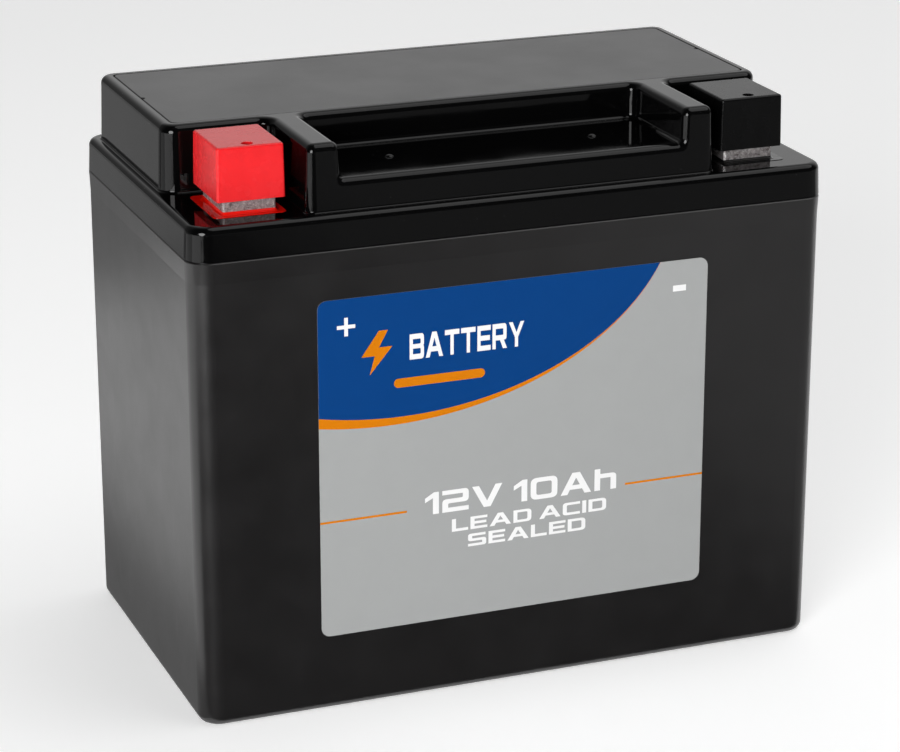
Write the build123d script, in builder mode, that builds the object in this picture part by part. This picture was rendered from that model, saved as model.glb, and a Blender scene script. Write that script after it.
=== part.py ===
from build123d import *
from math import atan, degrees
import os

# A sealed 12 V motorcycle battery. Millimetres; +Z up, +X towards the negative terminal, -Y to the front.
# The origin is the middle of the base. The six cells are numbered from the positive end, at -X.

# Case
LENGTH = 150.0
DEPTH = 87.0
HEIGHT = 130.0
SEAM_Z = 107.3  # where the lid is welded on
CORNER_R = 5.1
BASE_FILLET_R = 2.1
WALL = 2.2
FLOOR = 2.5
FLARE = 0.2  # how far the rim stands out past the walls below it
FLARE_HEIGHT = 4.8
SEAM_CHAMFER = 0.25
CELLS = 6
CELL_CORNER_R = 1.5
PARTITION = 1.5

# Lid: a band with a ledge, and on it a raised block whose front is two posts with a recess between them
LEDGE_Z = 115.0
BAND_DRAFT = 2.6
LEDGE_FILLET_R = 1.7
LID_WALL = 2.3
BLOCK_HALF_X = 72.2
BLOCK_HALF_Y = 40.7
BLOCK_FRONT_Y = -14.4
BLOCK_DRAFT = 1.9
BLOCK_CORNER_R = 3.9
BLOCK_INSET = 0.5  # what the draft takes off each side at the top
TOP_FILLET_R = 1.8
LEDGE_FOOT_R = 0.5
POST_OUTER_X = 48.1
POST_INNER_X = 40.4
POST_CORNER_R = 2.2
RECESS_FLOOR_Z = 122.0
RECESS_BACK_Y = -13.6
RECESS_FRONT_Y = -50.0  # well clear of the lid's front, which the recess opens through
RECESS_CORNER_R = 2.2
RECESS_FOOT_R = 1.0

# Moulding gate marks on the recess floor: a fine ring with a nub in its middle
GATE_X = 24.2
GATE_Y = -26.3
GATE_R = 3.9
GATE_LINE = 0.35
GATE_DEPTH = 0.15
NUB_R = 0.6
NUB_HEIGHT = 0.35
NUB_TAPER = 20  # degrees

# Vent cover, and the trough, filling necks and rubber valves under it
COVER_HALF_X = 68.9
COVER_FRONT_Y = -11.4
COVER_BACK_Y = 37.0
COVER_THICKNESS = 1.8
COVER_GAP = 0.3
COVER_CORNER_R = 1.5
COVER_CHAMFER = 0.15
VENT_NOTCH_R = 0.7
VENT_CHANNEL_DEPTH = 1.0
SHELF = 2.4
TROUGH_FLOOR_Z = 119.0
NECK_PITCH = 23.0
NECK_TOP_Z = 126.0
NECK_R = 5.5
NECK_BORE_R = 3.8
VALVE_GAP = 0.05
VALVE_WALL = 1.1
VALVE_LOW_Z = 120.0
VALVE_TOP_Z = 127.7
VALVE_EDGE_R = 0.4

# Terminals: lead boxes open at both sides, each on a pole potted in epoxy
TERMINAL_X = 59.05
TERMINAL_Y = -27.55
TERMINAL_WIDTH = 11.9
TERMINAL_DEPTH = 14.8
TERMINAL_FOOT_Z = 113.6
TERMINAL_TOP_Z = 128.7
TERMINAL_CHAMFER = 0.4
TERMINAL_FRONT = 2.5
NUT_BAY_LOW_Z = 116.9
NUT_BAY_DEPTH = 10.1
BOLT_HOLE_R = 3.3
POLE_R = 4.5
POLE_GAP = 0.05
NUT_SIDE = 10.0
NUT_THICKNESS = 5.0
NUT_GAP = 0.05
NUT_THREAD_R = 2.5  # the minor radius of an M6 thread
NUT_CHAMFER = 0.5
SEAL_HALF_WIDTH = 8.15
SEAL_CENTRE_X = 59.35
SEAL_FRONT_Y = -36.8
SEAL_BACK_Y = -18.0
SEAL_LOW_Z = 112.4
SEAL_TOP_Z = 115.1
SEAL_CORNER_R = 1.2
BOSS_LOW_Z = 110.4
BOSS_WALL = 1.2

# Terminal caps
CAP_WIDTH = 15.3
CAP_DEPTH = 17.9
CAP_LOW_Z = 118.3
CAP_TOP_Z = 130.15
CAP_DRAFT = 0.85
CAP_EDGE_R = 0.6
CAP_GAP = 0.1
CAP_ROOF = 1.35
PROBE_R = 1.3
PROBE_Y = -34.1

# Label on the front
LABEL_LEFT_X = -47.1
LABEL_RIGHT_X = 45.6
LABEL_LOW_Z = 17.9
LABEL_HIGH_Z = 96.2
LABEL_CORNER_R = 2.1
LABEL_THICKNESS = 0.12

# Plate packs
POSITIVE_PLATES = 4
POSITIVE_THICKNESS = 1.8
NEGATIVE_THICKNESS = 1.3
MAT_THICKNESS = 1.1
MAT_WIDTH = 79.0
MAT_TOP_Z = 88.0
PLATE_WIDTH = 76.0
PLATE_TOP_Z = 86.0
LUG_WIDTH = 10.0

# Straps over the plate packs, and the welds through the dividing walls
STRAP_Y = 27.55  # each strap lies this far in front of or behind the middle
STRAP_LOW_Z = 91.0
STRAP_TOP_Z = 95.0
STRAP_WIDTH = 12.0
STRAP_END = 0.5  # how far a strap runs past its last plate
TAB_THICKNESS = 2.2
TAB_TOP_Z = 105.0
WELD_Z = 100.0
WELD_R = 3.5

BODY_LENGTH = LENGTH - 2 * FLARE
BODY_DEPTH = DEPTH - 2 * FLARE
FRONT_FACE_Y = -BODY_DEPTH / 2
INNER_LENGTH = BODY_LENGTH - 2 * WALL
INNER_DEPTH = BODY_DEPTH - 2 * WALL
CELL_WIDTH = (INNER_LENGTH - (CELLS - 1) * PARTITION) / CELLS
CELL_PITCH = CELL_WIDTH + PARTITION
COVER_Y = (COVER_FRONT_Y + COVER_BACK_Y) / 2
COVER_LENGTH = 2 * COVER_HALF_X
COVER_DEPTH = COVER_BACK_Y - COVER_FRONT_Y
SHELF_Z = HEIGHT - COVER_THICKNESS
LOW_CEILING_Z = LEDGE_Z - LID_WALL
CORE_INSET = BLOCK_INSET + LID_WALL
NUT_BAY_TOP_Z = NUT_BAY_LOW_Z + NUT_SIDE + 2 * NUT_GAP
NUT_Z = (NUT_BAY_LOW_Z + NUT_BAY_TOP_Z) / 2
NUT_BAY_FRONT_Y = TERMINAL_Y - TERMINAL_DEPTH / 2 + TERMINAL_FRONT
NUT_BAY_Y = NUT_BAY_FRONT_Y + NUT_BAY_DEPTH / 2
NUT_Y = NUT_BAY_FRONT_Y + NUT_GAP + NUT_THICKNESS / 2
NEGATIVE_PLATES = POSITIVE_PLATES + 1
PLATE_LOW_Z = FLOOR + MAT_THICKNESS
PLATE_PITCH = POSITIVE_THICKNESS + NEGATIVE_THICKNESS + 2 * MAT_THICKNESS
POSITIVE_SIDE = -1
NEGATIVE_SIDE = 1
EDGE_TOLERANCE = 0.01  # how far off an edge may be when it is picked by its place
FACE_MARGIN = 0.6  # room for a fillet when the edges of one face are picked


def save(part, name):
    """Names a finished piece and writes it to its own file."""
    part.label = name
    export_step(part, f"parts/{name}.step")


def cell_x(cell):
    """The middle of a cell, counted from 1."""
    return (cell - (CELLS + 1) / 2) * CELL_PITCH


def neck_x(cell):
    """The middle of a cell's filling neck."""
    return (cell - (CELLS + 1) / 2) * NECK_PITCH


def partition_x(wall):
    """The middle of the dividing wall between two cells, counted from 1."""
    return (wall - CELLS / 2) * CELL_PITCH


def weld_y(wall):
    """Where a dividing wall's weld is: by turns behind and in front of the middle."""
    return STRAP_Y if wall % 2 else -STRAP_Y


def strap_y(cell, side):
    """Where a cell's strap is. The positive strap of cell 1 and the negative strap of cell 6 are in front."""
    return (STRAP_Y if cell % 2 else -STRAP_Y) * side


def edges_at(part, z):
    """The edges that lie wholly at height z."""
    return part.edges().filter_by_position(Axis.Z, z - EDGE_TOLERANCE, z + EDGE_TOLERANCE)


def make_case():
    with BuildPart() as case:
        # The rim flares out to the seam.
        with BuildSketch(Plane.XY.offset(SEAM_Z)):
            RectangleRounded(LENGTH, DEPTH, CORNER_R)
        extrude(amount=-FLARE_HEIGHT, taper=degrees(atan(FLARE / FLARE_HEIGHT)))
        chamfer(edges_at(case, SEAM_Z), SEAM_CHAMFER)
        with BuildSketch():
            RectangleRounded(BODY_LENGTH, BODY_DEPTH, CORNER_R - FLARE)
        extrude(amount=SEAM_Z - FLARE_HEIGHT)
        fillet(edges_at(case, 0), BASE_FILLET_R)
        # Six cells, open at the top until the lid is on.
        with BuildSketch(Plane.XY.offset(FLOOR)):
            with GridLocations(CELL_PITCH, 0, CELLS, 1):
                RectangleRounded(CELL_WIDTH, INNER_DEPTH, CELL_CORNER_R)
        extrude(amount=SEAM_Z, mode=Mode.SUBTRACT)
        for wall in range(1, CELLS):
            with BuildSketch(Plane.YZ.offset(partition_x(wall))):
                with Locations((weld_y(wall), WELD_Z)):
                    Circle(WELD_R)
            extrude(amount=PARTITION / 2, both=True, mode=Mode.SUBTRACT)
    return case.part


def foot_of_block(part):
    """The inside corner where the raised block stands on the ledge."""
    return edges_at(part, LEDGE_Z).filter_by(
        lambda edge: abs(edge.center().X) < BLOCK_HALF_X + EDGE_TOLERANCE
        and abs(edge.center().Y) < BLOCK_HALF_Y + EDGE_TOLERANCE
    )


def recess_front_edges(part):
    """The lip of the recess and the edges of the two posts above its ends, all in the block's front face."""
    return part.edges().filter_by(
        lambda edge: edge.center().Y < FACE_MARGIN - BLOCK_HALF_Y
        and abs(edge.center().X) < POST_INNER_X + FACE_MARGIN
        and RECESS_FLOOR_Z - FACE_MARGIN < edge.center().Z < HEIGHT - FACE_MARGIN
    )


def make_lid():
    with BuildPart() as lid:
        with BuildSketch(Plane.XY.offset(SEAM_Z)):
            RectangleRounded(LENGTH, DEPTH, CORNER_R)
        extrude(amount=LEDGE_Z - SEAM_Z, taper=BAND_DRAFT)
        chamfer(edges_at(lid, SEAM_Z), SEAM_CHAMFER)
        fillet(edges_at(lid, LEDGE_Z), LEDGE_FILLET_R)
        # The raised block, T-shaped in plan, leaves the two front corners free for the terminals.
        with BuildSketch(Plane.XY.offset(LEDGE_Z)) as footprint:
            with Locations((0, (BLOCK_FRONT_Y + BLOCK_HALF_Y) / 2)):
                Rectangle(2 * BLOCK_HALF_X, BLOCK_HALF_Y - BLOCK_FRONT_Y)
            with Locations((0, (BLOCK_FRONT_Y - BLOCK_HALF_Y) / 2)):
                Rectangle(2 * POST_OUTER_X, BLOCK_HALF_Y + BLOCK_FRONT_Y)
            outer = footprint.vertices().filter_by(lambda v: abs(v.X) > BLOCK_HALF_X - EDGE_TOLERANCE)
            fillet(outer, BLOCK_CORNER_R)
            inner = footprint.vertices().filter_by(lambda v: abs(abs(v.X) - POST_OUTER_X) < EDGE_TOLERANCE)
            fillet(inner, POST_CORNER_R)
        extrude(amount=HEIGHT - LEDGE_Z, taper=BLOCK_DRAFT)
        fillet(foot_of_block(lid), LEDGE_FOOT_R)
        # The recess between the posts.
        with BuildSketch(Plane.XY.offset(HEIGHT)) as recess:
            with Locations((0, (RECESS_BACK_Y + RECESS_FRONT_Y) / 2)):
                Rectangle(2 * POST_INNER_X, RECESS_BACK_Y - RECESS_FRONT_Y)
            fillet(recess.vertices().group_by(Axis.Y)[-1], RECESS_CORNER_R)
        extrude(amount=RECESS_FLOOR_Z - HEIGHT, taper=BLOCK_DRAFT, mode=Mode.SUBTRACT)
        foot = edges_at(lid, RECESS_FLOOR_Z).filter_by(lambda e: e.center().Y > FACE_MARGIN - BLOCK_HALF_Y)
        fillet(foot, RECESS_FOOT_R)
        fillet(edges_at(lid, HEIGHT) + recess_front_edges(lid), TOP_FILLET_R)
        # Gate marks.
        for side in (POSITIVE_SIDE, NEGATIVE_SIDE):
            with BuildSketch(Plane.XY.offset(RECESS_FLOOR_Z)):
                with Locations((side * GATE_X, GATE_Y)):
                    Circle(GATE_R)
                    Circle(GATE_R - GATE_LINE, mode=Mode.SUBTRACT)
            extrude(amount=-GATE_DEPTH, mode=Mode.SUBTRACT)
            with BuildSketch(Plane.XY.offset(RECESS_FLOOR_Z)):
                with Locations((side * GATE_X, GATE_Y)):
                    Circle(NUB_R)
            extrude(amount=NUB_HEIGHT, taper=NUB_TAPER)
        # The seat of the vent cover, the trough under it, and the gas channels at its two ends.
        with BuildSketch(Plane.XY.offset(HEIGHT)):
            with Locations((0, COVER_Y)):
                RectangleRounded(COVER_LENGTH + 2 * COVER_GAP, COVER_DEPTH + 2 * COVER_GAP, COVER_CORNER_R)
        extrude(amount=-COVER_THICKNESS, mode=Mode.SUBTRACT)
        with BuildSketch(Plane.XY.offset(SHELF_Z)):
            with Locations((0, COVER_Y)):
                Rectangle(COVER_LENGTH - 2 * SHELF, COVER_DEPTH - 2 * SHELF)
        extrude(amount=TROUGH_FLOOR_Z - SHELF_Z, mode=Mode.SUBTRACT)
        with BuildSketch(Plane.XY.offset(SHELF_Z)):
            with Locations((0, COVER_Y)):
                Rectangle(COVER_LENGTH, 2 * VENT_NOTCH_R)
        extrude(amount=-VENT_CHANNEL_DEPTH, mode=Mode.SUBTRACT)
        # The head space over the cells, in three steps that follow the outside. Ribs meet the dividing walls.
        for half_x, front_y, back_y, ceiling_z in (
            (INNER_LENGTH / 2, -INNER_DEPTH / 2, INNER_DEPTH / 2, LOW_CEILING_Z),
            (BLOCK_HALF_X - CORE_INSET, BLOCK_FRONT_Y + CORE_INSET, BLOCK_HALF_Y - CORE_INSET,
             TROUGH_FLOOR_Z - LID_WALL),
            (POST_OUTER_X - CORE_INSET, CORE_INSET - BLOCK_HALF_Y, BLOCK_FRONT_Y + CORE_INSET,
             RECESS_FLOOR_Z - LID_WALL),
        ):
            with BuildSketch(Plane.XY.offset(SEAM_Z)):
                with Locations((0, (front_y + back_y) / 2)):
                    Rectangle(2 * half_x, back_y - front_y)
                with GridLocations(CELL_PITCH, 0, CELLS - 1, 1):
                    Rectangle(PARTITION, DEPTH, mode=Mode.SUBTRACT)
            extrude(amount=ceiling_z - SEAM_Z, mode=Mode.SUBTRACT)
        # Filling necks, one for each cell.
        with BuildSketch(Plane.XY.offset(TROUGH_FLOOR_Z)):
            with Locations(*[(neck_x(cell), COVER_Y) for cell in range(1, CELLS + 1)]):
                Circle(NECK_R)
        extrude(amount=NECK_TOP_Z - TROUGH_FLOOR_Z)
        with BuildSketch(Plane.XY.offset(NECK_TOP_Z)):
            with Locations(*[(neck_x(cell), COVER_Y) for cell in range(1, CELLS + 1)]):
                Circle(NECK_BORE_R)
        extrude(amount=SEAM_Z - NECK_TOP_Z, mode=Mode.SUBTRACT)
        # A boss in each terminal corner holds the epoxy round the pole.
        for side in (POSITIVE_SIDE, NEGATIVE_SIDE):
            seal_place = (side * SEAL_CENTRE_X, (SEAL_FRONT_Y + SEAL_BACK_Y) / 2)
            seal_depth = SEAL_BACK_Y - SEAL_FRONT_Y
            with BuildSketch(Plane.XY.offset(BOSS_LOW_Z)):
                with Locations(seal_place):
                    Rectangle(2 * (SEAL_HALF_WIDTH + BOSS_WALL), seal_depth + 2 * BOSS_WALL)
            extrude(amount=LOW_CEILING_Z - BOSS_LOW_Z)
            with BuildSketch(Plane.XY.offset(SEAL_LOW_Z)):
                with Locations(seal_place):
                    RectangleRounded(2 * SEAL_HALF_WIDTH, seal_depth, SEAL_CORNER_R)
            extrude(amount=LEDGE_Z - SEAL_LOW_Z, mode=Mode.SUBTRACT)
            with BuildSketch(Plane.XY.offset(BOSS_LOW_Z)):
                with Locations((side * TERMINAL_X, TERMINAL_Y)):
                    Circle(POLE_R + POLE_GAP)
            extrude(amount=SEAL_LOW_Z - BOSS_LOW_Z, mode=Mode.SUBTRACT)
    return lid.part


def make_vent_cover():
    with BuildPart() as cover:
        with BuildSketch(Plane.XY.offset(SHELF_Z)):
            with Locations((0, COVER_Y)):
                RectangleRounded(COVER_LENGTH, COVER_DEPTH, COVER_CORNER_R)
            # A notch in the middle of each short end lets the gas out.
            with Locations((-COVER_HALF_X, COVER_Y), (COVER_HALF_X, COVER_Y)):
                Circle(VENT_NOTCH_R, mode=Mode.SUBTRACT)
        extrude(amount=COVER_THICKNESS)
        chamfer(edges_at(cover, HEIGHT), COVER_CHAMFER)
    return cover.part


def make_valve(cell):
    """A rubber cap that sits over a filling neck and lifts against the vent cover to let gas out."""
    with BuildPart() as valve:
        with BuildSketch(Plane.XY.offset(VALVE_LOW_Z)):
            with Locations((neck_x(cell), COVER_Y)):
                Circle(NECK_R + VALVE_GAP + VALVE_WALL)
        extrude(amount=VALVE_TOP_Z - VALVE_LOW_Z)
        with BuildSketch(Plane.XY.offset(VALVE_LOW_Z)):
            with Locations((neck_x(cell), COVER_Y)):
                Circle(NECK_R + VALVE_GAP)
        extrude(amount=NECK_TOP_Z - VALVE_LOW_Z, mode=Mode.SUBTRACT)
        fillet(edges_at(valve, VALVE_TOP_Z), VALVE_EDGE_R)
    return valve.part


def make_terminal(x):
    with BuildPart() as terminal:
        with BuildSketch(Plane.XY.offset(TERMINAL_FOOT_Z)):
            with Locations((x, TERMINAL_Y)):
                Rectangle(TERMINAL_WIDTH, TERMINAL_DEPTH)
        extrude(amount=TERMINAL_TOP_Z - TERMINAL_FOOT_Z)
        chamfer(terminal.edges().filter_by(Axis.Z) + edges_at(terminal, TERMINAL_TOP_Z), TERMINAL_CHAMFER)
        # The nut bay runs through from side to side.
        with BuildSketch(Plane.YZ.offset(x)):
            with Locations((NUT_BAY_Y, (NUT_BAY_LOW_Z + NUT_BAY_TOP_Z) / 2)):
                Rectangle(NUT_BAY_DEPTH, NUT_BAY_TOP_Z - NUT_BAY_LOW_Z)
        extrude(amount=TERMINAL_WIDTH, both=True, mode=Mode.SUBTRACT)
        # Bolt holes in the front and in the top.
        with BuildSketch(Plane.XZ.offset(-NUT_BAY_FRONT_Y)):
            with Locations((x, NUT_Z)):
                Circle(BOLT_HOLE_R)
        extrude(amount=TERMINAL_FRONT, mode=Mode.SUBTRACT)
        with BuildSketch(Plane.XY.offset(NUT_BAY_TOP_Z)):
            with Locations((x, NUT_BAY_Y)):
                Circle(BOLT_HOLE_R)
        extrude(amount=TERMINAL_TOP_Z - NUT_BAY_TOP_Z, mode=Mode.SUBTRACT)
        # The pole goes down through the lid to the end cell's strap.
        with BuildSketch(Plane.XY.offset(TERMINAL_FOOT_Z)):
            with Locations((x, TERMINAL_Y)):
                Circle(POLE_R)
        extrude(amount=STRAP_TOP_Z - TERMINAL_FOOT_Z)
    return terminal.part


def make_nut(x):
    with BuildPart() as nut:
        with BuildSketch(Plane.XZ.offset(-NUT_Y)):
            with Locations((x, NUT_Z)):
                Rectangle(NUT_SIDE, NUT_SIDE)
                Circle(NUT_THREAD_R, mode=Mode.SUBTRACT)
        extrude(amount=NUT_THICKNESS / 2, both=True)
        chamfer(nut.edges().filter_by(GeomType.CIRCLE), NUT_CHAMFER)
    return nut.part


def make_seal(side):
    """The epoxy that fills the lid's boss round the foot and pole of a terminal."""
    x = side * TERMINAL_X
    with BuildPart() as seal:
        with BuildSketch(Plane.XY.offset(SEAL_LOW_Z)):
            with Locations((side * SEAL_CENTRE_X, (SEAL_FRONT_Y + SEAL_BACK_Y) / 2)):
                RectangleRounded(2 * SEAL_HALF_WIDTH, SEAL_BACK_Y - SEAL_FRONT_Y, SEAL_CORNER_R)
        extrude(amount=SEAL_TOP_Z - SEAL_LOW_Z)
        with BuildSketch(Plane.XY.offset(TERMINAL_FOOT_Z)) as foot:
            with Locations((x, TERMINAL_Y)):
                Rectangle(TERMINAL_WIDTH, TERMINAL_DEPTH)
            chamfer(foot.vertices(), TERMINAL_CHAMFER)
        extrude(amount=SEAL_TOP_Z - TERMINAL_FOOT_Z, mode=Mode.SUBTRACT)
        with BuildSketch(Plane.XY.offset(SEAL_LOW_Z)):
            with Locations((x, TERMINAL_Y)):
                Circle(POLE_R + POLE_GAP)
        extrude(amount=TERMINAL_FOOT_Z - SEAL_LOW_Z, mode=Mode.SUBTRACT)
    return seal.part


def make_cap(x):
    with BuildPart() as cap:
        with BuildSketch(Plane.XY.offset(CAP_LOW_Z)):
            with Locations((x, TERMINAL_Y)):
                Rectangle(CAP_WIDTH, CAP_DEPTH)
        extrude(amount=CAP_TOP_Z - CAP_LOW_Z, taper=CAP_DRAFT)
        fillet(cap.edges().filter_by(lambda edge: edge.center().Z > CAP_LOW_Z + FACE_MARGIN), CAP_EDGE_R)
        # The inside fits over the terminal.
        with BuildSketch(Plane.XY.offset(CAP_LOW_Z)):
            with Locations((x, TERMINAL_Y)):
                Rectangle(TERMINAL_WIDTH + 2 * CAP_GAP, TERMINAL_DEPTH + 2 * CAP_GAP)
        extrude(amount=CAP_TOP_Z - CAP_ROOF - CAP_LOW_Z, mode=Mode.SUBTRACT)
        # A meter's probe reaches the terminal through this hole.
        with BuildSketch(Plane.XY.offset(CAP_TOP_Z)):
            with Locations((x, PROBE_Y)):
                Circle(PROBE_R)
        extrude(amount=-CAP_ROOF, mode=Mode.SUBTRACT)
    return cap.part


def make_label():
    with BuildPart() as label:
        with BuildSketch(Plane.XZ.offset(-FRONT_FACE_Y)):
            with Locations(((LABEL_LEFT_X + LABEL_RIGHT_X) / 2, (LABEL_LOW_Z + LABEL_HIGH_Z) / 2)):
                RectangleRounded(LABEL_RIGHT_X - LABEL_LEFT_X, LABEL_HIGH_Z - LABEL_LOW_Z, LABEL_CORNER_R)
        extrude(amount=LABEL_THICKNESS)
    return label.part


def plate_places(cell, count):
    """The middles of a cell's evenly spaced plates of one polarity."""
    return [cell_x(cell) + (i - (count - 1) / 2) * PLATE_PITCH for i in range(count)]


def make_plates(cell, side, count, thickness):
    """All the plates of one polarity in a cell, each with the lug that joins it to the strap."""
    with BuildPart() as plates:
        for x in plate_places(cell, count):
            with BuildSketch(Plane.YZ.offset(x)):
                with Locations((0, (PLATE_LOW_Z + PLATE_TOP_Z) / 2)):
                    Rectangle(PLATE_WIDTH, PLATE_TOP_Z - PLATE_LOW_Z)
                with Locations((strap_y(cell, side), (PLATE_TOP_Z + STRAP_LOW_Z) / 2)):
                    Rectangle(LUG_WIDTH, STRAP_LOW_Z - PLATE_TOP_Z)
            extrude(amount=thickness / 2, both=True)
    return plates.part


def make_mats(cell):
    """Glass mat folded round the bottom of each positive plate, so that it covers both faces."""
    with BuildPart() as mats:
        for x in plate_places(cell, POSITIVE_PLATES):
            with BuildSketch(Plane.XZ):
                with Locations((x, (FLOOR + MAT_TOP_Z) / 2)):
                    Rectangle(POSITIVE_THICKNESS + 2 * MAT_THICKNESS, MAT_TOP_Z - FLOOR)
                with Locations((x, (PLATE_LOW_Z + MAT_TOP_Z) / 2)):
                    Rectangle(POSITIVE_THICKNESS, MAT_TOP_Z - PLATE_LOW_Z, mode=Mode.SUBTRACT)
            extrude(amount=MAT_WIDTH / 2, both=True)
    return mats.part


def make_strap(cell, side, count):
    """The cast bar over one polarity's lugs, with a tab at the dividing wall where the next cell is joined."""
    lugs = plate_places(cell, count)
    low_x = lugs[0] - STRAP_END
    high_x = lugs[-1] + STRAP_END
    wall_x = cell_x(cell) + side * CELL_WIDTH / 2
    last_cell = 1 if side == POSITIVE_SIDE else CELLS
    if cell != last_cell:
        low_x = min(low_x, wall_x)
        high_x = max(high_x, wall_x)
    with BuildPart() as strap:
        with BuildSketch(Plane.XY.offset(STRAP_LOW_Z)):
            with Locations(((low_x + high_x) / 2, strap_y(cell, side))):
                Rectangle(high_x - low_x, STRAP_WIDTH)
        extrude(amount=STRAP_TOP_Z - STRAP_LOW_Z)
        if cell != last_cell:
            with BuildSketch(Plane.XY.offset(STRAP_TOP_Z)):
                with Locations((wall_x - side * TAB_THICKNESS / 2, strap_y(cell, side))):
                    Rectangle(TAB_THICKNESS, STRAP_WIDTH)
            extrude(amount=TAB_TOP_Z - STRAP_TOP_Z)
    return strap.part


def make_welds():
    """One plug of lead through each dividing wall, between the tabs of the two cells that it joins."""
    with BuildPart() as welds:
        for wall in range(1, CELLS):
            with BuildSketch(Plane.YZ.offset(partition_x(wall))):
                with Locations((weld_y(wall), WELD_Z)):
                    Circle(WELD_R)
            extrude(amount=PARTITION / 2, both=True)
    return welds.part


os.makedirs("parts", exist_ok=True)
save(make_case(), "case")
save(make_lid(), "lid")
save(make_vent_cover(), "vent_cover")
save(make_label(), "front_label")
for polarity, side in (("positive", POSITIVE_SIDE), ("negative", NEGATIVE_SIDE)):
    save(make_terminal(side * TERMINAL_X), f"{polarity}_terminal")
    save(make_nut(side * TERMINAL_X), f"{polarity}_terminal_nut")
    save(make_seal(side), f"{polarity}_terminal_seal")
    save(make_cap(side * TERMINAL_X), f"{polarity}_terminal_cap")
for cell in range(1, CELLS + 1):
    save(make_valve(cell), f"vent_valve_{cell}")
    save(make_plates(cell, POSITIVE_SIDE, POSITIVE_PLATES, POSITIVE_THICKNESS), f"positive_plates_{cell}")
    save(make_plates(cell, NEGATIVE_SIDE, NEGATIVE_PLATES, NEGATIVE_THICKNESS), f"negative_plates_{cell}")
    save(make_mats(cell), f"separators_{cell}")
    save(make_strap(cell, POSITIVE_SIDE, POSITIVE_PLATES), f"positive_strap_{cell}")
    save(make_strap(cell, NEGATIVE_SIDE, NEGATIVE_PLATES), f"negative_strap_{cell}")
save(make_welds(), "intercell_welds")
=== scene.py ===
from math import asin, cos, pi, radians, sin, sqrt, tau

import bmesh
import bpy
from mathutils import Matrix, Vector


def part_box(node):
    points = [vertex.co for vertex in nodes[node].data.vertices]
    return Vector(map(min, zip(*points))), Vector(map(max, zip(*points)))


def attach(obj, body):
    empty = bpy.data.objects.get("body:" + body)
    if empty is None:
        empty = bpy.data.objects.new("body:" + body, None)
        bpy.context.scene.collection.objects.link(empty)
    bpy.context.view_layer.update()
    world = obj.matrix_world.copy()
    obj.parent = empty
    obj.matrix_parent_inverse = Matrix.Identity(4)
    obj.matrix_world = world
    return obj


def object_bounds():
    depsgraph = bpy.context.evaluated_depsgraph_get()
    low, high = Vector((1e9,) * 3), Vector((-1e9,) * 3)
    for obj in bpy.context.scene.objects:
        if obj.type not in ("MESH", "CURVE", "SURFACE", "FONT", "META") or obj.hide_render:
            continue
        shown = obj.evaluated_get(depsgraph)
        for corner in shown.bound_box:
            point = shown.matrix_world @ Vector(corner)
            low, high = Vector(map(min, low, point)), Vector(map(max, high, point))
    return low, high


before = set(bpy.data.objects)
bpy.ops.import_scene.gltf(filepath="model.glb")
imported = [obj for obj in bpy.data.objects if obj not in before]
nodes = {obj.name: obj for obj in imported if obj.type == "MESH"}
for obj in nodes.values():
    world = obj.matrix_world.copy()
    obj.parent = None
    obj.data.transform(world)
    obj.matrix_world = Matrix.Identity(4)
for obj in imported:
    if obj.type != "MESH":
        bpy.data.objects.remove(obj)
CAD_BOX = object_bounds()

MM = 0.001
scene = bpy.context.scene


# ---------------------------------------------------------------- materials

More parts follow.
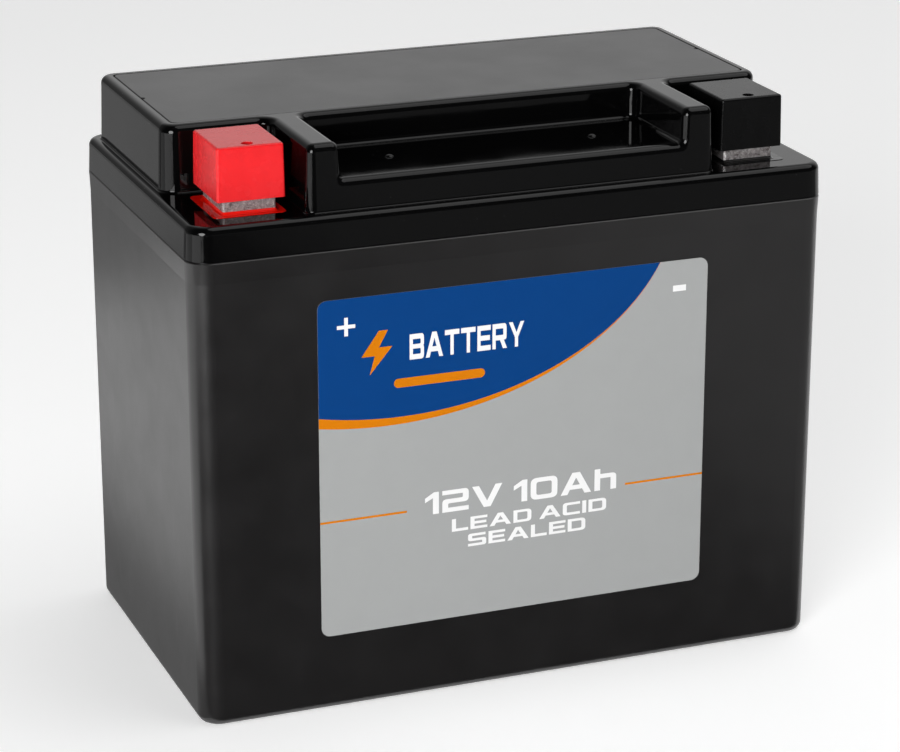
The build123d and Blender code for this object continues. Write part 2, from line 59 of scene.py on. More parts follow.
class Shader:
    """A Principled material whose maps are all built from object coordinates."""

    def __init__(self, name, **sockets):
        self.material = bpy.data.materials.new(name)
        self.material.use_nodes = True
        self.tree = self.material.node_tree
        self.bsdf = self.tree.nodes["Principled BSDF"]
        self.coordinates = self.tree.nodes.new("ShaderNodeTexCoord").outputs["Object"]
        for socket, value in sockets.items():
            self.bsdf.inputs[socket.replace("_", " ")].default_value = value

    def node(self, kind, links=(), **settings):
        node = self.tree.nodes.new(kind)
        for key, value in settings.items():
            setattr(node, key, value)
        for socket, source in links:
            if isinstance(source, bpy.types.NodeSocket):
                self.tree.links.new(source, node.inputs[socket])
            else:
                node.inputs[socket].default_value = source
        return node

    def stretched(self, x, y, z):
        """Coordinates squeezed along an axis, so that a pattern runs long the other way."""
        node = self.node("ShaderNodeMapping", [("Vector", self.coordinates), ("Scale", (x, y, z))])
        return node.outputs["Vector"]

    def noise(self, size_mm, detail=2.0, roughness=0.5, distortion=0.0, vector=None):
        """Noise from 0 to 1 whose features are about size_mm across."""
        return self.node("ShaderNodeTexNoise", [
            ("Vector", vector or self.coordinates), ("Scale", 1 / (size_mm * MM)),
            ("Detail", detail), ("Roughness", roughness), ("Distortion", distortion),
        ]).outputs["Fac"]

    def specks(self, spacing_mm, radius):
        """1 on small round specks, one at most in each cell, and 0 between them."""
        cells = self.node("ShaderNodeTexVoronoi", [
            ("Vector", self.coordinates), ("Scale", 1 / (spacing_mm * MM)), ("Randomness", 1.0),
        ])
        return self.span(cells.outputs["Distance"], radius, radius * 0.5, 0.0, 1.0)

    def span(self, value, low, high, to_low, to_high):
        """value from low to high becomes to_low to to_high, and stays within them."""
        return self.node("ShaderNodeMapRange", [
            ("Value", value), ("From Min", low), ("From Max", high), ("To Min", to_low), ("To Max", to_high),
        ]).outputs["Result"]

    def maths(self, operation, a, b):
        return self.node("ShaderNodeMath", [(0, a), (1, b)], operation=operation).outputs["Value"]

    def blend(self, amount, low, high):
        """A colour between two colours or colour sockets."""
        node = self.node("ShaderNodeMix", data_type="RGBA")
        for socket, value in ((0, amount), (6, low), (7, high)):
            if isinstance(value, bpy.types.NodeSocket):
                self.tree.links.new(value, node.inputs[socket])
            else:
                node.inputs[socket].default_value = value
        return node.outputs[2]

    def colour(self, source):
        self.tree.links.new(source, self.bsdf.inputs["Base Color"])

    def roughness(self, source):
        self.tree.links.new(source, self.bsdf.inputs["Roughness"])

    def relief(self, *layers):
        """Each layer is a height map from 0 to 1 and the height in millimetres that it stands."""
        normal = None
        for height, depth_mm in layers:
            bump = self.node("ShaderNodeBump", [
                ("Height", height), ("Distance", depth_mm * MM), ("Strength", 1.0),
            ])
            if normal is not None:
                self.tree.links.new(normal, bump.inputs["Normal"])
            normal = bump.outputs["Normal"]
        self.tree.links.new(normal, self.bsdf.inputs["Normal"])


def grey(value):
    return (value, value, value, 1.0)


def make_case_plastic():
    """Satin polypropylene: a fine grain, a soft mottle and a few upright rub marks."""
    s = Shader("case_plastic", Specular_IOR_Level=0.86)
    mottle = s.noise(11, detail=5)
    rubs = s.noise(1.2, detail=3, vector=s.stretched(1, 1, 0.1))
    low, high = (0.0078, 0.0071, 0.0073, 1), (0.0108, 0.0099, 0.0102, 1)
    s.colour(s.blend(s.span(mottle, 0.3, 0.7, 0, 1), low, high))
    worn = s.span(rubs, 0.6, 0.8, 0.0, 0.03)
    s.roughness(s.maths("SUBTRACT", s.span(mottle, 0.3, 0.7, 0.30, 0.35), worn))
    s.relief((s.noise(0.28, detail=3), 0.006), (s.noise(4.5, detail=2), 0.008))
    return s.material


def make_lid_plastic():
    """Polished moulding: nearly a mirror, with a slight waviness and a little dust."""
    s = Shader("lid_plastic", Specular_IOR_Level=0.25)
    dust = s.maths("MULTIPLY", s.specks(2.3, 0.06), s.span(s.noise(14), 0.45, 0.65, 0, 1))
    s.colour(s.blend(dust, (0.0014, 0.0014, 0.0015, 1), grey(0.04)))
    film = s.span(s.noise(12, detail=5, roughness=0.6), 0.35, 0.7, 0.045, 0.10)
    s.roughness(s.maths("ADD", film, s.maths("MULTIPLY", dust, 0.4)))
    s.relief((s.noise(17), 0.05), (s.noise(4.5, detail=2), 0.005), (s.noise(0.5), 0.0005))
    return s.material


def make_cover_plastic():
    """Finely spark-eroded flat plate."""
    s = Shader("cover_plastic", Specular_IOR_Level=0.76)
    mottle = s.noise(16, detail=4)
    s.colour(s.blend(mottle, (0.022, 0.022, 0.0225, 1), (0.031, 0.031, 0.0315, 1)))
    s.roughness(s.span(mottle, 0.3, 0.7, 0.36, 0.42))
    s.relief((s.noise(0.22, detail=2), 0.006), (s.noise(6), 0.006))
    return s.material


def make_film(name, low, high, roughness=0.36):
    """Printed film: a flat ink with a faint unevenness, a fine grain and a soft ripple of the glue."""
    s = Shader(name, Specular_IOR_Level=0.07)
    s.colour(s.blend(s.noise(5, detail=5), low, high))
    s.roughness(s.span(s.noise(2.5, detail=3), 0.3, 0.7, roughness - 0.03, roughness + 0.04))
    s.relief((s.noise(0.35, detail=2), 0.002), (s.noise(7), 0.006))
    return s.material


def make_lead():
    """Cast lead, dull and scuffed, with bright scratches."""
    s = Shader("lead", Metallic=0.7)
    cast = s.noise(0.8, detail=6, roughness=0.7, distortion=0.4)
    scratches = s.noise(0.3, detail=4, vector=s.stretched(0.35, 0.35, 1))
    dull = s.blend(s.span(cast, 0.35, 0.65, 0, 1), (0.15, 0.12, 0.12, 1), (0.78, 0.74, 0.74, 1))
    s.colour(s.blend(s.span(scratches, 0.56, 0.7, 0, 0.8), dull, (0.88, 0.88, 0.88, 1)))
    s.roughness(s.span(cast, 0.3, 0.7, 0.55, 0.34))
    s.relief((cast, 0.10), (scratches, 0.04), (s.noise(0.18), 0.015))
    return s.material


def make_plated_steel():
    """Zinc plate with a faint blue-yellow passivation and turned marks."""
    s = Shader("plated_steel", Metallic=1.0)
    tint = s.noise(2.2, detail=3)
    s.colour(s.blend(tint, (0.60, 0.62, 0.66, 1), (0.70, 0.67, 0.58, 1)))
    s.roughness(s.span(s.noise(0.5, detail=4, vector=s.stretched(1, 0.08, 1)), 0.3, 0.7, 0.24, 0.38))
    s.relief((s.noise(0.2, detail=2), 0.006))
    return s.material


def make_epoxy(name, low, high):
    """Poured resin: glossy, with gentle waves and a few bubbles under its skin."""
    s = Shader(name, Specular_IOR_Level=0.5)
    bubbles = s.specks(0.9, 0.22)
    s.colour(s.blend(s.maths("MULTIPLY", bubbles, 0.5), s.blend(s.noise(2.6, detail=3), low, high), high))
    s.roughness(s.span(s.noise(3.2, detail=3), 0.3, 0.7, 0.10, 0.2))
    s.relief((s.noise(3.0, detail=2), 0.05), (bubbles, 0.02))
    return s.material


def make_cap_plastic(name, low, high, roughness, specular):
    """Soft moulded plastic with a fine grain and faint flow marks up its sides."""
    s = Shader(name, Specular_IOR_Level=specular)
    flow = s.noise(3.2, detail=2, vector=s.stretched(1, 1, 0.5))
    s.colour(s.blend(s.span(flow, 0.3, 0.7, 0, 1), low, high))
    s.roughness(s.span(s.noise(4), 0.3, 0.7, roughness - 0.015, roughness + 0.015))
    s.relief((s.noise(0.9, detail=2), 0.0005), (flow, 0.003))
    return s.material


def make_rubber():
    """Moulded rubber with a pale bloom on it."""
    s = Shader("valve_rubber", Specular_IOR_Level=0.3)
    bloom = s.noise(2.5, detail=5)
    s.colour(s.blend(s.span(bloom, 0.45, 0.75, 0, 1), grey(0.016), grey(0.045)))
    s.roughness(s.span(bloom, 0.3, 0.7, 0.62, 0.8))
    s.relief((s.noise(0.3, detail=3), 0.012))
    return s.material


def make_paste(name, low, high):
    """Active paste in a cast grid, whose ribs show as a faint lattice."""
    s = Shader(name, Specular_IOR_Level=0.2)
    ribs = s.node("ShaderNodeTexWave", [("Vector", s.coordinates), ("Scale", 40.0), ("Distortion", 0.4)],
                  bands_direction="Z")
    crumbs = s.noise(0.8, detail=6, roughness=0.7)
    s.colour(s.blend(crumbs, low, high))
    s.roughness(s.span(crumbs, 0.3, 0.7, 0.78, 0.92))
    s.relief((ribs.outputs["Fac"], 0.12), (crumbs, 0.08))
    return s.material


def make_glass_mat():
    """Felted glass fibre: crossing strands at a fine scale."""
    s = Shader("glass_mat", Sheen_Weight=0.25)
    along = s.noise(0.35, detail=4, distortion=1.2, vector=s.stretched(1, 0.15, 1))
    across = s.noise(0.35, detail=4, distortion=1.2, vector=s.stretched(1, 1, 0.15))
    fibres = s.maths("MAXIMUM", along, across)
    s.colour(s.blend(fibres, (0.66, 0.66, 0.63, 1), (0.88, 0.88, 0.86, 1)))
    s.roughness(s.span(fibres, 0.4, 0.8, 0.95, 0.8))
    s.relief((fibres, 0.08))
    return s.material


RED_EPOXY = make_epoxy("red_epoxy", (0.78, 0.004, 0.001, 1), (0.90, 0.009, 0.002, 1))
BLACK_EPOXY = make_epoxy("black_epoxy", grey(0.002), grey(0.006))
LEAD = make_lead()
PLATED_STEEL = make_plated_steel()

FINISHES = {
    "case": make_case_plastic(),
    "lid": make_lid_plastic(),
    "vent_cover": make_cover_plastic(),
    "front_label": make_film("label_film", (0.340, 0.347, 0.345, 1), (0.354, 0.361, 0.359, 1)),
    "intercell_welds": LEAD,
    "positive_terminal_seal": RED_EPOXY,
    "negative_terminal_seal": BLACK_EPOXY,
    "positive_terminal_cap": make_cap_plastic(
        "red_plastic", (0.78, 0.010, 0.014, 1), (0.84, 0.014, 0.019, 1), roughness=0.27, specular=0.36),
    "negative_terminal_cap": make_cap_plastic(
        "black_plastic", (0.0016, 0.0016, 0.0017, 1), (0.0026, 0.0026, 0.0027, 1),
        roughness=0.27, specular=0.20),
}
FAMILIES = {
    "vent_valve": make_rubber(),
    "positive_plates": make_paste("positive_paste", (0.07, 0.03, 0.02, 1), (0.20, 0.10, 0.06, 1)),
    "negative_plates": make_paste("negative_paste", (0.20, 0.20, 0.21, 1), (0.38, 0.38, 0.39, 1)),
    "separators": make_glass_mat(),
}


def finish_of(name):
    if name in FINISHES:
        return FINISHES[name]
    for family, material in FAMILIES.items():
        if name.startswith(family):
            return material
    return PLATED_STEEL if name.endswith("nut") else LEAD


for name, node in nodes.items():
    node.data.materials.clear()
    node.data.materials.append(finish_of(name))


# ------------------------------------------------------------------- pieces

def add_piece(name, vertices, faces, material, body, smooth=False):
    """A new closed mesh that rides on a body."""
    mesh = bpy.data.meshes.new(name)
    mesh.from_pydata(vertices, [], faces)
    shape = bmesh.new()
    shape.from_mesh(mesh)
    bmesh.ops.remove_doubles(shape, verts=shape.verts, dist=1e-7)
    bmesh.ops.recalc_face_normals(shape, faces=shape.faces)
    shape.to_mesh(mesh)
    shape.free()
    mesh.materials.append(material)
    if smooth:
        mesh.shade_smooth()
    piece = bpy.data.objects.new(name, mesh)
    scene.collection.objects.link(piece)
    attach(piece, body)


# Label print. Its points are (x, z) on the label's face, in metres.
LABEL_LOW, LABEL_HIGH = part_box("front_label")
INK = 0.03 * MM  # how thick a layer of print stands
SUNK = 0.01 * MM  # how far it is set into what is under it
LABEL_CORNER = 2.1 * MM

ORANGE_INK = make_film("orange_ink", (0.60, 0.176, 0.0003, 1), (0.64, 0.188, 0.0006, 1))
BLUE_INK = make_film("blue_ink", (0.0005, 0.043, 0.190, 1), (0.0008, 0.047, 0.203, 1))
WHITE_INK = make_film("white_ink", (0.80, 0.80, 0.80, 1), (0.84, 0.84, 0.84, 1))


def ink_faces(level):
    """The front and back of a layer of print. A level-2 layer lies on top of a level-1 one."""
    return LABEL_LOW.y - level * INK, LABEL_LOW.y - (level - 1) * INK + SUNK


def print_layer(name, outlines, material, level=1):
    """Closed flat prisms on the label."""
    front, back = ink_faces(level)
    vertices, faces = [], []
    for outline in outlines:
        start, count = len(vertices), len(outline)
        vertices += [(x, front, z) for x, z in outline] + [(x, back, z) for x, z in outline]
        faces.append(range(start, start + count))
        faces.append(range(start + 2 * count - 1, start + count - 1, -1))
        for i in range(count):
            j = (i + 1) % count
            faces.append((start + j, start + i, start + count + i, start + count + j))
    add_piece(name, vertices, faces, material, "battery")


def arc(cx, cz, radius, start, end, steps=12):
    """Points on a circle, from one angle to another in degrees."""
    turns = [radians(start + (end - start) * i / steps) for i in range(steps + 1)]
    return [(cx + radius * cos(t), cz + radius * sin(t)) for t in turns]


def bar(x0, x1, z0, z1):
    return [(x0, z0), (x1, z0), (x1, z1), (x0, z1)]


def ellipse_z(x, ellipse):
    """The lower half of an ellipse given by its centre and half axes."""
    cx, cz, half_x, half_z = ellipse
    return cz - half_z * sqrt(1 - ((x - cx) / half_x) ** 2)


# The blue field's lower edge, and under it the orange one that thins out to the right.
BLUE_EDGE = (-27.94 * MM, 110.55 * MM, 65.5 * MM, 42.86 * MM)
ORANGE_EDGE = (-31.02 * MM, 111.84 * MM, 68.99 * MM, 45.88 * MM)
EDGE_STEPS = 96


def edge_points(ellipse):
    """The edge from the label's left side to its top side."""
    cx, cz, half_x, half_z = ellipse
    top_x = cx + half_x * sqrt(1 - ((cz - LABEL_HIGH.z) / half_z) ** 2)
    left_x = LABEL_LOW.x
    # The steps are even in angle, so that they are finer where the edge turns up.
    places = [left_x + (top_x - left_x) * sin(pi / 2 * i / EDGE_STEPS) for i in range(EDGE_STEPS + 1)]
    return [(x, ellipse_z(x, ellipse)) for x in places]


blue_edge = edge_points(BLUE_EDGE)
orange_edge = edge_points(ORANGE_EDGE)
corner = arc(LABEL_LOW.x + LABEL_CORNER, LABEL_HIGH.z - LABEL_CORNER, LABEL_CORNER, 90, 180)
print_layer("label_blue_field", [blue_edge + corner], BLUE_INK)
print_layer("label_orange_edge", [orange_edge + blue_edge[::-1]], ORANGE_INK)

LINE_WIDTH = 0.48 * MM
LEFT_LINE_Z = 45.1 * MM
RIGHT_LINE_Z = 44.3 * MM
print_layer("label_orange_lines", [
    bar(LABEL_LOW.x, -26.8 * MM, LEFT_LINE_Z - LINE_WIDTH / 2, LEFT_LINE_Z + LINE_WIDTH / 2),
    bar(26.2 * MM, LABEL_HIGH.x, RIGHT_LINE_Z - LINE_WIDTH / 2, RIGHT_LINE_Z + LINE_WIDTH / 2),
], ORANGE_INK)

PLUS_X, PLUS_Z, PLUS_ARM, PLUS_HALF = -40.6 * MM, 89.84 * MM, 2.1 * MM, 0.42 * MM
plus = []
for turn in range(4):
    along = Vector((cos(turn * pi / 2), sin(turn * pi / 2)))
    aside = Vector((-along.y, along.x))
    for a, b in ((PLUS_HALF, -PLUS_HALF), (PLUS_ARM, -PLUS_HALF), (PLUS_ARM, PLUS_HALF)):
        point = along * a + aside * b
        plus.append((PLUS_X + point.x, PLUS_Z + point.y))
print_layer("label_plus", [plus], WHITE_INK, level=2)
print_layer("label_minus", [bar(37.1 * MM, 40.3 * MM, 88.95 * MM, 90.35 * MM)], WHITE_INK)

# A plain bolt of lightning, drawn about its own middle on a 10 mm square.
BOLT = [(0.5, 5.0), (-3.6, -0.7), (-0.5, -0.7), (-1.7, -5.0), (3.6, 1.2), (0.5, 1.2), (2.6, 5.0)]
BOLT_X, BOLT_Z = -33.6 * MM, 83.1 * MM
print_layer("label_bolt", [[(BOLT_X + x * MM, BOLT_Z + z * MM) for x, z in BOLT]], ORANGE_INK, level=2)

PILL_LEFT, PILL_RIGHT, PILL_Z, PILL_R = -29.7 * MM, -8.3 * MM, 75.5 * MM, 1.05 * MM
pill = arc(PILL_RIGHT - PILL_R, PILL_Z, PILL_R, -90, 90) + arc(PILL_LEFT + PILL_R, PILL_Z, PILL_R, 90, 270)
print_layer("label_bar", [pill], ORANGE_INK, level=2)


# Wide block letters on a grid five units high. Each outline point is (x, y) or (x, y, corner radius),
# and an outline after the first is a hole.
GLYPHS = {
    "0": [[(0, 0, 1.3), (5.6, 0, 1.3), (5.6, 5, 1.3), (0, 5, 1.3)],
          [(1.2, 1, 0.5), (4.4, 1, 0.5), (4.4, 4, 0.5), (1.2, 4, 0.5)]],
    "1": [[(1.6, 0), (2.8, 0), (2.8, 5), (1.8, 5), (0, 3.8), (0, 2.8), (1.6, 3.7)]],
    "2": [[(0, 0), (5.4, 0), (5.4, 1), (1.2, 1), (1.2, 2, 0.3), (5.4, 2, 0.9), (5.4, 5, 0.9), (0, 5), (0, 4),
           (4.2, 4), (4.2, 3, 0.3), (0, 3, 0.9)]],
    "A": [[(0, 0), (1.4, 0), (1.9, 1.1), (4.5, 1.1), (5, 0), (6.4, 0), (4, 5), (2.4, 5)],
          [(2.4, 2.1), (4, 2.1), (3.2, 3.8)]],
    "B": [[(0, 0), (5.3, 0, 0.9), (5.3, 2.5, 0.4), (5.1, 2.6), (5.3, 2.7, 0.4), (5.3, 5, 0.9), (0, 5)],
          [(1.2, 1), (4.1, 1, 0.3), (4.1, 2.1, 0.3), (1.2, 2.1)],
          [(1.2, 3), (4.1, 3, 0.3), (4.1, 4, 0.3), (1.2, 4)]],
    "C": [[(0, 0, 1.1), (5.2, 0), (5.2, 1), (1.2, 1, 0.4), (1.2, 4, 0.4), (5.2, 4), (5.2, 5), (0, 5, 1.1)]],
    "D": [[(0, 0), (5.4, 0, 1.4), (5.4, 5, 1.4), (0, 5)], [(1.2, 1), (4.2, 1, 0.5), (4.2, 4, 0.5), (1.2, 4)]],
    "E": [[(0, 0), (5, 0), (5, 1), (1.2, 1), (1.2, 2), (4.7, 2), (4.7, 3), (1.2, 3), (1.2, 4), (5, 4), (5, 5),
           (0, 5)]],
    "I": [[(0, 0), (1.2, 0), (1.2, 5), (0, 5)]],
    "L": [[(0, 0), (4.8, 0), (4.8, 1.1), (1.2, 1.1), (1.2, 5), (0, 5)]],
    "R": [[(0, 0), (1.2, 0), (1.2, 1.7), (2.8, 1.7), (4, 0), (5.5, 0), (4.3, 1.7), (5.3, 1.8, 0.5),
           (5.3, 5, 0.9), (0, 5)],
          [(1.2, 2.7), (4.1, 2.7, 0.3), (4.1, 4, 0.3), (1.2, 4)]],
    "S": [[(0, 0), (5.4, 0, 0.9), (5.4, 3, 0.9), (1.2, 3, 0.3), (1.2, 4), (5.2, 4), (5.2, 5), (0, 5, 0.9),
           (0, 2, 0.9), (4.2, 2, 0.3), (4.2, 1), (0, 1)]],
    "T": [[(2.1, 0), (3.3, 0), (3.3, 4), (5.4, 4), (5.4, 5), (0, 5), (0, 4), (2.1, 4)]],
    "V": [[(0, 5), (1.4, 5), (3.1, 1.4), (4.8, 5), (6.2, 5), (3.8, 0), (2.4, 0)]],
    "Y": [[(2.3, 0), (3.5, 0), (3.5, 1.9), (5.8, 5), (4.4, 5), (2.9, 2.9), (1.4, 5), (0, 5), (2.3, 1.9)]],
    "h": [[(0, 0), (1.2, 0), (1.2, 2.8), (3.4, 2.8), (3.4, 0), (4.6, 0), (4.6, 3.8, 0.9), (1.2, 3.8),
           (1.2, 5), (0, 5)]],
}
LETTER_GAP = 0.7
WORD_GAP = 2.4
ROUNDING_STEPS = 5


def rounded(outline):
    """An outline with its marked corners rounded off."""
    points = []
    for i, corner in enumerate(outline):
        here = Vector(corner[:2])
        if len(corner) == 2:
            points.append(here)
            continue
        before = here + (Vector(outline[i - 1][:2]) - here).normalized() * corner[2]
        after = here + (Vector(outline[(i + 1) % len(outline)][:2]) - here).normalized() * corner[2]
        for step in range(ROUNDING_STEPS + 1):
            t = step / ROUNDING_STEPS
            points.append(before * (1 - t) ** 2 + here * 2 * t * (1 - t) + after * t ** 2)
    return points


def print_words(name, words, left, right, low, high, material, level):
    """Block letters as closed prisms, fitted between left and right and between low and high."""
    curve = bpy.data.curves.new(name + "_outline", "CURVE")
    curve.dimensions = "2D"
    curve.fill_mode = "BOTH"
    curve.extrude = 0.5
    cursor = 0.0
    for letter in words:
        if letter == " ":
            cursor += WORD_GAP - LETTER_GAP
            continue
        outlines = [rounded(outline) for outline in GLYPHS[letter]]
        for points in outlines:
            spline = curve.splines.new("POLY")
            spline.points.add(len(points) - 1)
            for place, point in zip(spline.points, points):
                place.co = (cursor + point.x, point.y, 0, 1)
            spline.use_cyclic_u = True
        cursor += max(point.x for point in outlines[0]) + LETTER_GAP
    text = bpy.data.objects.new(name + "_outline", curve)
    scene.collection.objects.link(text)
    mesh = bpy.data.meshes.new_from_object(text.evaluated_get(bpy.context.evaluated_depsgraph_get()))
    bpy.data.objects.remove(text)
    width = max(v.co.x for v in mesh.vertices)
    height = max(v.co.y for v in mesh.vertices)
    front, back = ink_faces(level)
    wide, tall = (right - left) / width, (high - low) / height
    vertices = [
        (left + v.co.x * wide, front if v.co.z > 0 else back, low + v.co.y * tall)
        for v in mesh.vertices
    ]
    faces = [tuple(face.vertices) for face in mesh.polygons]
    add_piece(name, vertices, faces, material, "battery")


print_words("label_heading", "BATTERY", -26.0 * MM, 1.0 * MM, 80.6 * MM, 86.4 * MM, WHITE_INK, level=2)
print_words("label_rating", "12V 10Ah", -22.5 * MM, 24.0 * MM, 43.6 * MM, 48.8 * MM, WHITE_INK, level=1)
print_words("label_type", "LEAD ACID", -16.1 * MM, 21.6 * MM, 38.7 * MM, 41.7 * MM, WHITE_INK, level=1)
print_words("label_kind", "SEALED", -12.2 * MM, 16.5 * MM, 34.6 * MM, 37.6 * MM, WHITE_INK, level=1)


# Where the epoxy has crept up the foot of each terminal it leaves a thin bead.
BEAD_OUT = 0.75 * MM
BEAD_UP = 0.6 * MM
BEAD_SUNK = 0.05 * MM
BEAD_STEPS = 6
FOOT_CORNER_R = 0.4 * MM
FOOT_CORNER_STEPS = 3


def bead_profile():
    """(out from the terminal, up from the epoxy): a hollow curve over a sunk back."""
    quarter = [pi / 2 * i / BEAD_STEPS for i in range(BEAD_STEPS + 1)]
    hollow = [(BEAD_OUT * (1 - sin(t)), BEAD_UP * (1 - cos(t))) for t in quarter]
    return hollow + [(-BEAD_SUNK, BEAD_UP), (-BEAD_SUNK, -BEAD_SUNK), (BEAD_OUT, -BEAD_SUNK)]


def add_bead(polarity, material):
    """The bead's profile carried round the foot of a terminal."""
    foot_low, foot_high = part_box(f"{polarity}_terminal")
    seal_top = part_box(f"{polarity}_terminal_seal")[1].z
    centre = (foot_low + foot_high) / 2
    half = (foot_high - foot_low) / 2
    profile = bead_profile()
    vertices, faces = [], []
    ring = []
    for quadrant, (sx, sy) in enumerate(((1, 1), (-1, 1), (-1, -1), (1, -1))):
        for step in range(FOOT_CORNER_STEPS + 1):
            turn = pi / 2 * (quadrant + step / FOOT_CORNER_STEPS)
            x = centre.x + sx * (half.x - FOOT_CORNER_R) + FOOT_CORNER_R * cos(turn)
            y = centre.y + sy * (half.y - FOOT_CORNER_R) + FOOT_CORNER_R * sin(turn)
            ring.append((x, y, cos(turn), sin(turn)))
    for x, y, out_x, out_y in ring:
        vertices += [(x + out_x * out, y + out_y * out, seal_top + up) for out, up in profile]
    count = len(profile)
    for i in range(len(ring)):
        following = (i + 1) % len(ring)
        for k in range(count):
            m = (k + 1) % count
            faces.append((i * count + k, following * count + k, following * count + m, i * count + m))
    add_piece(f"{polarity}_epoxy_bead", vertices, faces, material, "battery", smooth=True)


add_bead("positive", RED_EPOXY)
add_bead("negative", BLACK_EPOXY)


# The moulding gates on the recess floor end in a small rounded pip over each nub.
PIP_PLACE = (24.2 * MM, -26.3 * MM, 122.0 * MM)
PIP_R = 1.1 * MM
PIP_HEIGHT = 0.5 * MM
PIP_RINGS = 8
PIP_SIDES = 32


def add_pip(name, side):
    """A closed dome whose foot is sunk a little into the recess floor."""
    x, y, z = PIP_PLACE
    curve_r = (PIP_R ** 2 + PIP_HEIGHT ** 2) / (2 * PIP_HEIGHT)
    reach = asin(PIP_R / curve_r)
    rings = [(PIP_R, -SUNK)]
    for i in range(PIP_RINGS):
        slope = reach * (1 - i / PIP_RINGS)
        rings.append((curve_r * sin(slope), PIP_HEIGHT - curve_r * (1 - cos(slope))))
    vertices = [(side * x + out * cos(tau * k / PIP_SIDES), y + out * sin(tau * k / PIP_SIDES), z + up)
                for out, up in rings for k in range(PIP_SIDES)]
    faces = [tuple(reversed(range(PIP_SIDES)))]
    for i in range(len(rings) - 1):
        lower, upper = i * PIP_SIDES, (i + 1) * PIP_SIDES
        for k in range(PIP_SIDES):
            m = (k + 1) % PIP_SIDES
            faces.append((lower + k, lower + m, upper + m, upper + k))
    top = len(vertices)
    vertices.append((side * x, y, z + PIP_HEIGHT))
    last = (len(rings) - 1) * PIP_SIDES
    faces += [(last + k, last + (k + 1) % PIP_SIDES, top) for k in range(PIP_SIDES)]
    add_piece(name, vertices, faces, FINISHES["lid"], "battery", smooth=True)


add_pip("gate_pip_left", -1)
add_pip("gate_pip_right", 1)


# -------------------------------------------------------------------- stage

FLOOR_GLOW = 0.42
FLOOR_HALF = 6
CARD_Z = 1 * MM
SIDE_CARD_WIDTH = 22 * MM
BACK_CARD_Y = 0.28
CORNER_CARD_X = -0.36
AIM = Vector((0, 0, 0.07))
CAMERA_PLACE = (-0.24573, -0.63261, 0.29389)
CAMERA_TOWARDS = (0.34267, 0.88097, -0.32630)
CAMERA_LENS = 121.76  # on a sensor 36 mm wide


def add_sheet(name, x0, x1, y0, y1, z, material):
    mesh = bpy.data.meshes.new(name)
    mesh.from_pydata([(x0, y0, z), (x1, y0, z), (x1, y1, z), (x0, y1, z)], [], [(0, 1, 2, 3)])
    mesh.materials.append(material)
    sheet = bpy.data.objects.new(name, mesh)
    scene.collection.objects.link(sheet)
    return sheet


def make_floor():
    s = Shader("floor", Roughness=0.9, Specular_IOR_Level=0.1, Emission_Strength=FLOOR_GLOW)
    s.bsdf.inputs["Emission Color"].default_value = grey(1.0)
    s.colour(s.blend(s.noise(400, detail=2), grey(0.86), grey(0.88)))
    add_sheet("floor", -FLOOR_HALF, FLOOR_HALF, -FLOOR_HALF, FLOOR_HALF, 0, s.material)


def smooth_ramp(tree, source, start, end, from_value, to_value):
    """A node that goes smoothly from one value to another as its source goes from start to end."""
    ramp = tree.nodes.new("ShaderNodeMapRange")
    ramp.interpolation_type = "SMOOTHSTEP"
    settings = {"From Min": start, "From Max": end, "To Min": from_value, "To Max": to_value}
    for socket, value in settings.items():
        ramp.inputs[socket].default_value = value
    tree.links.new(source, ramp.inputs["Value"])
    return ramp.outputs["Result"]


def make_glow(name, axis, start, end, start_glow, end_glow):
    """A glow whose strength changes from start to end along one axis."""
    material = bpy.data.materials.new(name)
    material.use_nodes = True
    tree = material.node_tree
    tree.nodes.clear()
    coordinates = tree.nodes.new("ShaderNodeTexCoord")
    split = tree.nodes.new("ShaderNodeSeparateXYZ")
    glow = tree.nodes.new("ShaderNodeEmission")
    output = tree.nodes.new("ShaderNodeOutputMaterial")
    tree.links.new(coordinates.outputs["Object"], split.inputs[0])
    strength = smooth_ramp(tree, split.outputs[axis], start, end, start_glow, end_glow)
    tree.links.new(strength, glow.inputs["Strength"])
    tree.links.new(glow.outputs[0], output.inputs[0])
    return material


def make_cards():
    """Glowing cards lying on the floor that only reflections see: painted reflections, which set how dark the
    polished faces look.
    """
    left_x = CAD_BOX[0].x
    front_y = CAD_BOX[0].y
    # Each has its name, its (x0, x1, y0, y1), and its glow along one axis.
    for name, place, glow in (
        # Black in front, lighter towards the right: a painted dark reflection in the polished front faces.
        ("front_card", (CORNER_CARD_X, 4, -4, front_y), ("X", 0.065, 0.14, 0.04, 0.31)),
        # A bright patch to the left of it, which streaks the upright corners with a painted highlight.
        ("corner_card", (-0.90, CORNER_CARD_X, -0.45, front_y), ("X", -0.45, -0.39, 2.0, 0.04)),
        # Grey at the back on the left, beyond what the case's lower part reflects: a painted reflection in
        # the left faces.
        ("back_card", (-4, left_x, BACK_CARD_Y, 4), ("Y", BACK_CARD_Y, 0.40, 0.24, 0.36)),
        # An even grey close to the left side: a painted darker band reflected in the lower part of the case's
        # left face.
        ("side_card", (left_x - SIDE_CARD_WIDTH, left_x, front_y, BACK_CARD_Y), ("Y", 0, 1, 0.32, 0.32)),
    ):
        card = add_sheet(name, *place, CARD_Z, make_glow(name, *glow))
        card.visible_camera = False
        card.visible_diffuse = False
        card.visible_shadow = False


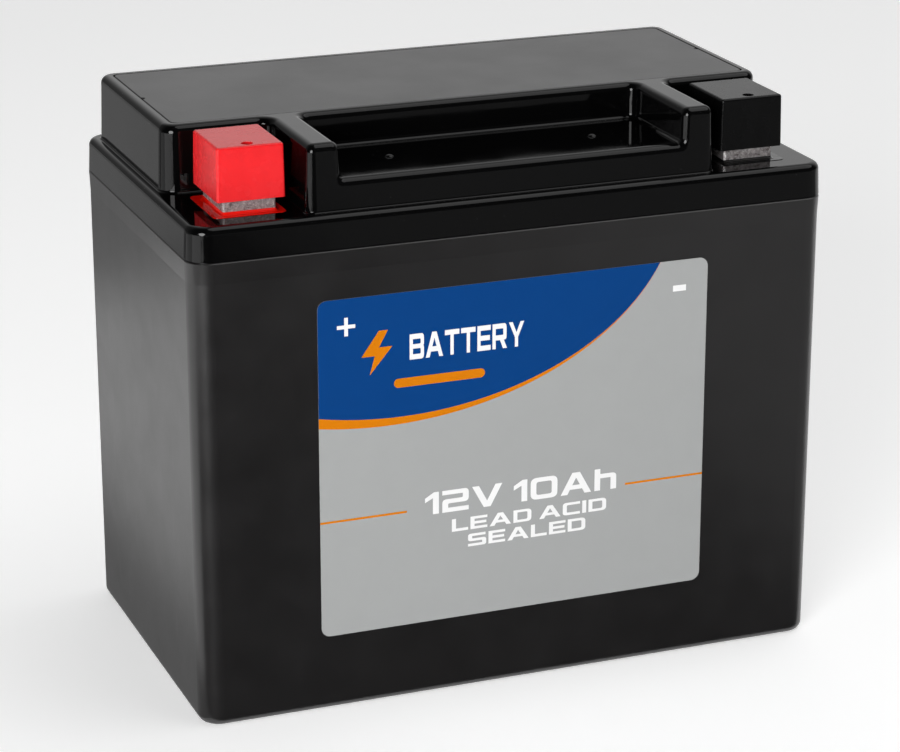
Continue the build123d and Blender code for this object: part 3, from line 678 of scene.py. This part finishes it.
def add_light(name, direction, distance, size, power):
    """A round soft light that faces the middle of the battery."""
    light = bpy.data.lights.new(name, "AREA")
    light.shape = "DISK"
    light.size = size
    light.energy = power
    lamp = bpy.data.objects.new(name, light)
    towards = Vector(direction).normalized()
    lamp.location = AIM + towards * distance
    lamp.rotation_euler = (-towards).to_track_quat("-Z", "Y").to_euler()
    scene.collection.objects.link(lamp)


def make_world():
    """Bright behind the battery, dark in front of it and to its left, with a white backdrop."""
    world = bpy.data.worlds.new("studio")
    world.use_nodes = True
    tree = world.node_tree
    tree.nodes.clear()
    direction = tree.nodes.new("ShaderNodeTexCoord")
    split = tree.nodes.new("ShaderNodeSeparateXYZ")
    tree.links.new(direction.outputs["Generated"], split.inputs[0])
    behind = smooth_ramp(tree, split.outputs["Y"], -0.05, 0.6, 0.05, 0.78)
    right = smooth_ramp(tree, split.outputs["X"], -0.35, 0.25, 0.22, 1.0)
    both = tree.nodes.new("ShaderNodeMath")
    both.operation = "MULTIPLY"
    tree.links.new(behind, both.inputs[0])
    tree.links.new(right, both.inputs[1])
    studio = tree.nodes.new("ShaderNodeBackground")
    studio.inputs["Color"].default_value = grey(1.0)
    tree.links.new(both.outputs[0], studio.inputs["Strength"])
    backdrop = tree.nodes.new("ShaderNodeBackground")
    backdrop.inputs["Color"].default_value = grey(1.0)
    backdrop.inputs["Strength"].default_value = 1.0
    seen = tree.nodes.new("ShaderNodeLightPath")
    mix = tree.nodes.new("ShaderNodeMixShader")
    output = tree.nodes.new("ShaderNodeOutputWorld")
    tree.links.new(seen.outputs["Is Camera Ray"], mix.inputs[0])
    tree.links.new(studio.outputs[0], mix.inputs[1])
    tree.links.new(backdrop.outputs[0], mix.inputs[2])
    tree.links.new(mix.outputs[0], output.inputs[0])
    scene.world = world


def make_camera():
    camera = bpy.data.cameras.new("camera")
    camera.lens = CAMERA_LENS
    camera.sensor_width = 36
    eye = bpy.data.objects.new("camera", camera)
    eye.location = CAMERA_PLACE
    eye.rotation_euler = Vector(CAMERA_TOWARDS).to_track_quat("-Z", "Y").to_euler()
    scene.collection.objects.link(eye)
    scene.camera = eye


make_floor()
make_cards()
make_world()
make_camera()
add_light("key", (-0.62, -0.75, 0.24), 1.3, 0.68, 14)
add_light("fill", (0.45, -0.18, 0.88), 1.6, 1.5, 9)
scene.view_settings.view_transform = "Standard"
